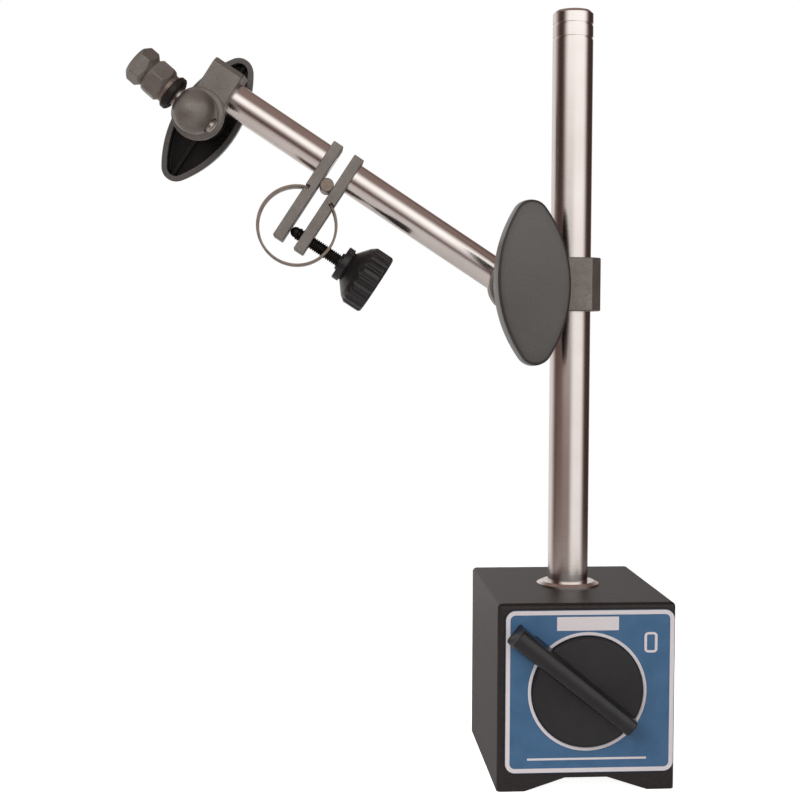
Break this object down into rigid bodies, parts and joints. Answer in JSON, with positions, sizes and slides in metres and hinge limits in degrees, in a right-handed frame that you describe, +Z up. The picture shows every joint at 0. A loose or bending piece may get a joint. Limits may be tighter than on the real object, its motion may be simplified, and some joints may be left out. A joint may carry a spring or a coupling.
{
  "type": "switchable magnetic indicator base",
  "caption": "Switchable magnetic base with a post, a sliding clamp, a finely adjustable jointed arm and a clamping stud for a dial indicator.",
  "frame": {"origin": "on the plane of the two feet, straight under the post, in the middle of the V groove's mouth", "axes": "+Z up along the post, +Y towards the back of the base, +X to the right seen from the switch side"},
  "size_m": [0.1572, 0.0804, 0.2245],
  "materials": {
    "base_enamel": "stoved dark enamel on steel",
    "separator_brass": "ground flush",
    "printed_plate": "blue printed aluminium with a pale border",
    "bush_brass": "turned",
    "bright_steel": "turned and polished",
    "cover_plastic": "moulded",
    "chrome_plate": "ground and hard chromed",
    "knob_phenolic": "moulded phenolic, semi-gloss",
    "ferrite": "sintered ferrite, as ground",
    "clamp_coating": "dark grey baked coating, matt",
    "black_oxide": "black oxide",
    "knob_nylon": "moulded, fine eroded texture",
    "spring_steel": "hardened strip"
  },
  "bodies": {
    "base": {"pole_block_left": "base_enamel", "pole_block_right": "base_enamel", "separator_lower": "separator_brass", "separator_upper": "base_enamel", "nameplate": "printed_plate", "front_bush": "bush_brass", "stop_pin": "bright_steel", "rear_cover": "cover_plastic", "post_collar": "chrome_plate"},
    "switch": {"switch_knob": "knob_phenolic", "rotor_magnet": "ferrite", "rotor_shoes": "bright_steel", "rotor_front_plate": "bush_brass", "rotor_rear_plate": "bush_brass"},
    "post": {"post": "chrome_plate"},
    "post_clamp": {"post_clamp_block": "clamp_coating", "post_knob_washer": "black_oxide", "post_friction_washer": "black_oxide"},
    "post_clamp_knob": {"post_clamp_knob": "knob_nylon", "post_knob_insert": "bush_brass"},
    "arm": {"arm_head": "clamp_coating", "post_clamp_bolt": "black_oxide", "inner_rod": "chrome_plate", "fixed_bar": "clamp_coating", "pivot_pin": "bright_steel", "ring_spring": "spring_steel"},
    "fine_screw": {"thumb_screw": "black_oxide"},
    "thumb_knob": {"thumb_knob": "knob_phenolic"},
    "moving_bar": {"moving_bar": "clamp_coating"},
    "outer_rod": {"outer_rod": "chrome_plate"},
    "end_clamp": {"end_clamp_block": "clamp_coating", "end_knob_washer": "black_oxide", "end_friction_washer": "black_oxide"},
    "end_clamp_knob": {"end_clamp_knob": "knob_nylon", "end_knob_insert": "bush_brass"},
    "end_head": {"end_head": "clamp_coating", "end_clamp_bolt": "black_oxide", "indicator_stud": "bright_steel", "lug_flange": "clamp_coating"},
    "lug_washer": {"lug_washer": "black_oxide"},
    "lug_nuts": {"lug_nut": "clamp_coating", "lock_nut": "clamp_coating"}
  },
  "joints": [
    {"name": "switch_turn", "type": "hinge", "parent": "base", "child": "switch", "pos_m": [0, 0, 0.0286], "axis": [0, 1, 0], "range_deg": [0, 90]},
    {"name": "post_turn", "type": "hinge", "parent": "base", "child": "post", "pos_m": [0, 0, 0.1], "axis": [0, 0, 1], "continuous": true},
    {"name": "post_clamp_slide", "type": "slide", "parent": "post", "child": "post_clamp", "axis": [0, 0, 1], "range_m": [-0.062, 0.072]},
    {"name": "post_knob_turn", "type": "hinge", "parent": "post_clamp", "child": "post_clamp_knob", "pos_m": [-0.0144, 0, 0.1437], "axis": [0, -1, 0], "continuous": true},
    {"name": "arm_swivel", "type": "hinge", "parent": "post_clamp", "child": "arm", "pos_m": [-0.0144, 0, 0.1437], "axis": [0, -1, 0], "range_deg": [-170, 80]},
    {"name": "fine_advance", "type": "slide", "parent": "arm", "child": "fine_screw", "axis": [-0.8371, 0, 0.5471], "range_m": [-0.0015, 0.0015]},
    {"name": "thumb_turn", "type": "hinge", "parent": "fine_screw", "child": "thumb_knob", "pos_m": [-0.08203, 0.0195, 0.15995], "axis": [-0.8371, 0, 0.5471], "range_deg": [-780, 780]},
    {"name": "fine_tilt", "type": "hinge", "parent": "arm", "child": "moving_bar", "pos_m": [-0.07273, 0.0195, 0.17418], "axis": [0, 1, 0], "range_deg": [-5.1, 5.1], "deforming": ["ring_spring"]},
    {"name": "outer_rod_turn", "type": "hinge", "parent": "moving_bar", "child": "outer_rod", "pos_m": [-0.08973, 0.0195, 0.19294], "axis": [0.8371, 0, -0.5471], "continuous": true},
    {"name": "end_clamp_slide", "type": "slide", "parent": "outer_rod", "child": "end_clamp", "axis": [-0.8371, 0, 0.5471], "range_m": [-0.022, 0]},
    {"name": "end_knob_turn", "type": "hinge", "parent": "end_clamp", "child": "end_clamp_knob", "pos_m": [-0.11093, 0.02031, 0.19525], "axis": [0.0458, 0.9965, 0.07], "continuous": true},
    {"name": "end_swivel", "type": "hinge", "parent": "end_clamp", "child": "end_head", "pos_m": [-0.11093, 0.02031, 0.19525], "axis": [0.0458, 0.9965, 0.07], "continuous": true},
    {"name": "lug_washer_slide", "type": "slide", "parent": "end_head", "child": "lug_washer", "axis": [-0.7587, -0.0109, 0.6513], "range_m": [0, 0.003]},
    {"name": "lug_nut_turn", "type": "hinge", "parent": "lug_washer", "child": "lug_nuts", "pos_m": [-0.11177, 0.00188, 0.19395], "axis": [-0.7587, -0.0109, 0.6513], "range_deg": [0, 1085]}
  ],
  "couplings": [
    {"joint": "thumb_turn", "follows": "fine_advance", "rad_per_m": 8976},
    {"joint": "fine_tilt", "follows": "fine_advance", "rad_per_m": 58.824},
    {"joint": "lug_nut_turn", "follows": "lug_washer_slide", "rad_per_m": 6283.2}
  ]
}
